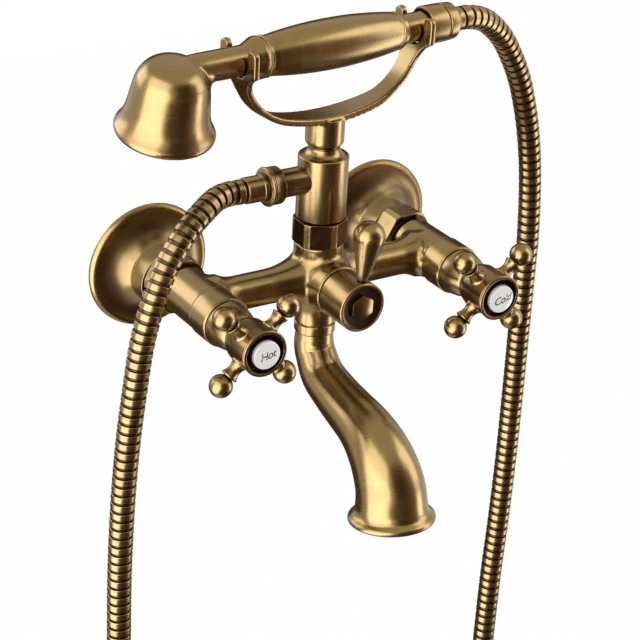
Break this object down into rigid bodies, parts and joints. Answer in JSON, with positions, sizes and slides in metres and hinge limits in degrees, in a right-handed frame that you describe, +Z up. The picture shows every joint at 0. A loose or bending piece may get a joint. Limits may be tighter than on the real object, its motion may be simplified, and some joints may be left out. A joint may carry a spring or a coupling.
{
  "type": "bath shower mixer",
  "caption": "Wall-mounted bath mixer with cross-handle valves, a lever diverter, a swivelling spout and a cradle that holds a bell-shaped hand shower on a ribbed hose.",
  "frame": {"origin": "midway between the two wall inlets, in the plane of the finished wall", "axes": "+X to the cold side, +Y into the wall, +Z up; the front is -Y"},
  "size_m": [0.3118, 0.1839, 0.6566],
  "materials": {
    "antique_brass": "brushed satin, antiqued",
    "dark_brass": "brushed satin, darker patina",
    "brown_brass": "brown patina, half gloss",
    "porcelain": "white glaze",
    "ceramic": "lapped flat",
    "rubber": "matt"
  },
  "bodies": {
    "mixer": {"body_casting": "antique_brass", "hot_wall_union": "dark_brass", "cold_wall_union": "dark_brass", "hot_wall_rosette": "antique_brass", "cold_wall_rosette": "antique_brass", "hot_union_nut": "antique_brass", "cold_union_nut": "antique_brass", "hot_inlet_washer": "rubber", "cold_inlet_washer": "rubber", "hot_seat_seal": "rubber", "cold_seat_seal": "rubber", "hot_cartridge_body": "antique_brass", "cold_cartridge_body": "antique_brass", "hot_fixed_disc": "ceramic", "cold_fixed_disc": "ceramic", "hot_bonnet": "antique_brass", "cold_bonnet": "antique_brass", "diverter_gland": "brown_brass", "spout_ring_nut": "antique_brass", "spout_orings": "rubber", "riser_nut": "brown_brass", "riser_washer": "rubber", "riser_tube": "antique_brass", "hose_nipple": "brown_brass", "lower_hose_washer": "rubber", "lower_hose_ferrule": "antique_brass", "lower_hose_nut": "antique_brass", "hose_lower": "dark_brass"},
    "hot_handle": {"hot_spindle": "antique_brass", "hot_moving_disc": "ceramic", "hot_handle_hub": "dark_brass", "hot_handle_arms": "antique_brass", "hot_index_disc": "porcelain", "hot_handle_screw": "brown_brass"},
    "cold_handle": {"cold_spindle": "antique_brass", "cold_moving_disc": "ceramic", "cold_handle_hub": "dark_brass", "cold_handle_arms": "antique_brass", "cold_index_disc": "porcelain", "cold_handle_screw": "brown_brass"},
    "diverter": {"diverter_rotor": "brown_brass", "diverter_seals": "rubber", "diverter_sleeve": "antique_brass", "diverter_cap": "brown_brass", "diverter_lever": "antique_brass"},
    "spout": {"spout": "antique_brass", "outlet_insert": "brown_brass"},
    "cradle": {"cradle": "antique_brass", "cradle_screw": "brown_brass"},
    "handset": {"handset_head": "antique_brass", "spray_plate": "dark_brass", "handset_collar": "antique_brass", "handset_grip": "antique_brass", "handset_end_ring": "antique_brass", "handset_tail": "antique_brass", "upper_hose_washer": "rubber", "upper_hose_nut": "antique_brass", "upper_hose_ferrule": "dark_brass", "hose_upper": "dark_brass"}
  },
  "joints": [
    {"name": "hot_handle_turn", "type": "hinge", "parent": "mixer", "child": "hot_handle", "pos_m": [-0.075, -0.119, 0.006], "axis": [0, -1, 0], "range_deg": [0, 90]},
    {"name": "cold_handle_turn", "type": "hinge", "parent": "mixer", "child": "cold_handle", "pos_m": [0.075, -0.119, 0.006], "axis": [0, -1, 0], "range_deg": [0, 90]},
    {"name": "diverter_turn", "type": "hinge", "parent": "mixer", "child": "diverter", "pos_m": [0, -0.095, 0.006], "axis": [0, 1, 0], "range_deg": [0, 90]},
    {"name": "spout_swivel", "type": "hinge", "parent": "mixer", "child": "spout", "pos_m": [0, -0.06, -0.035], "axis": [0, 0, 1], "range_deg": [-60, 60]},
    {"name": "cradle_swivel", "type": "hinge", "parent": "mixer", "child": "cradle", "pos_m": [0, -0.06, 0.09], "axis": [0, 0, 1], "range_deg": [-18, 8]},
    {"name": "handset_lift", "type": "slide", "parent": "cradle", "child": "handset", "axis": [0, 0, 1], "range_m": [0, 0.06]}
  ]
}
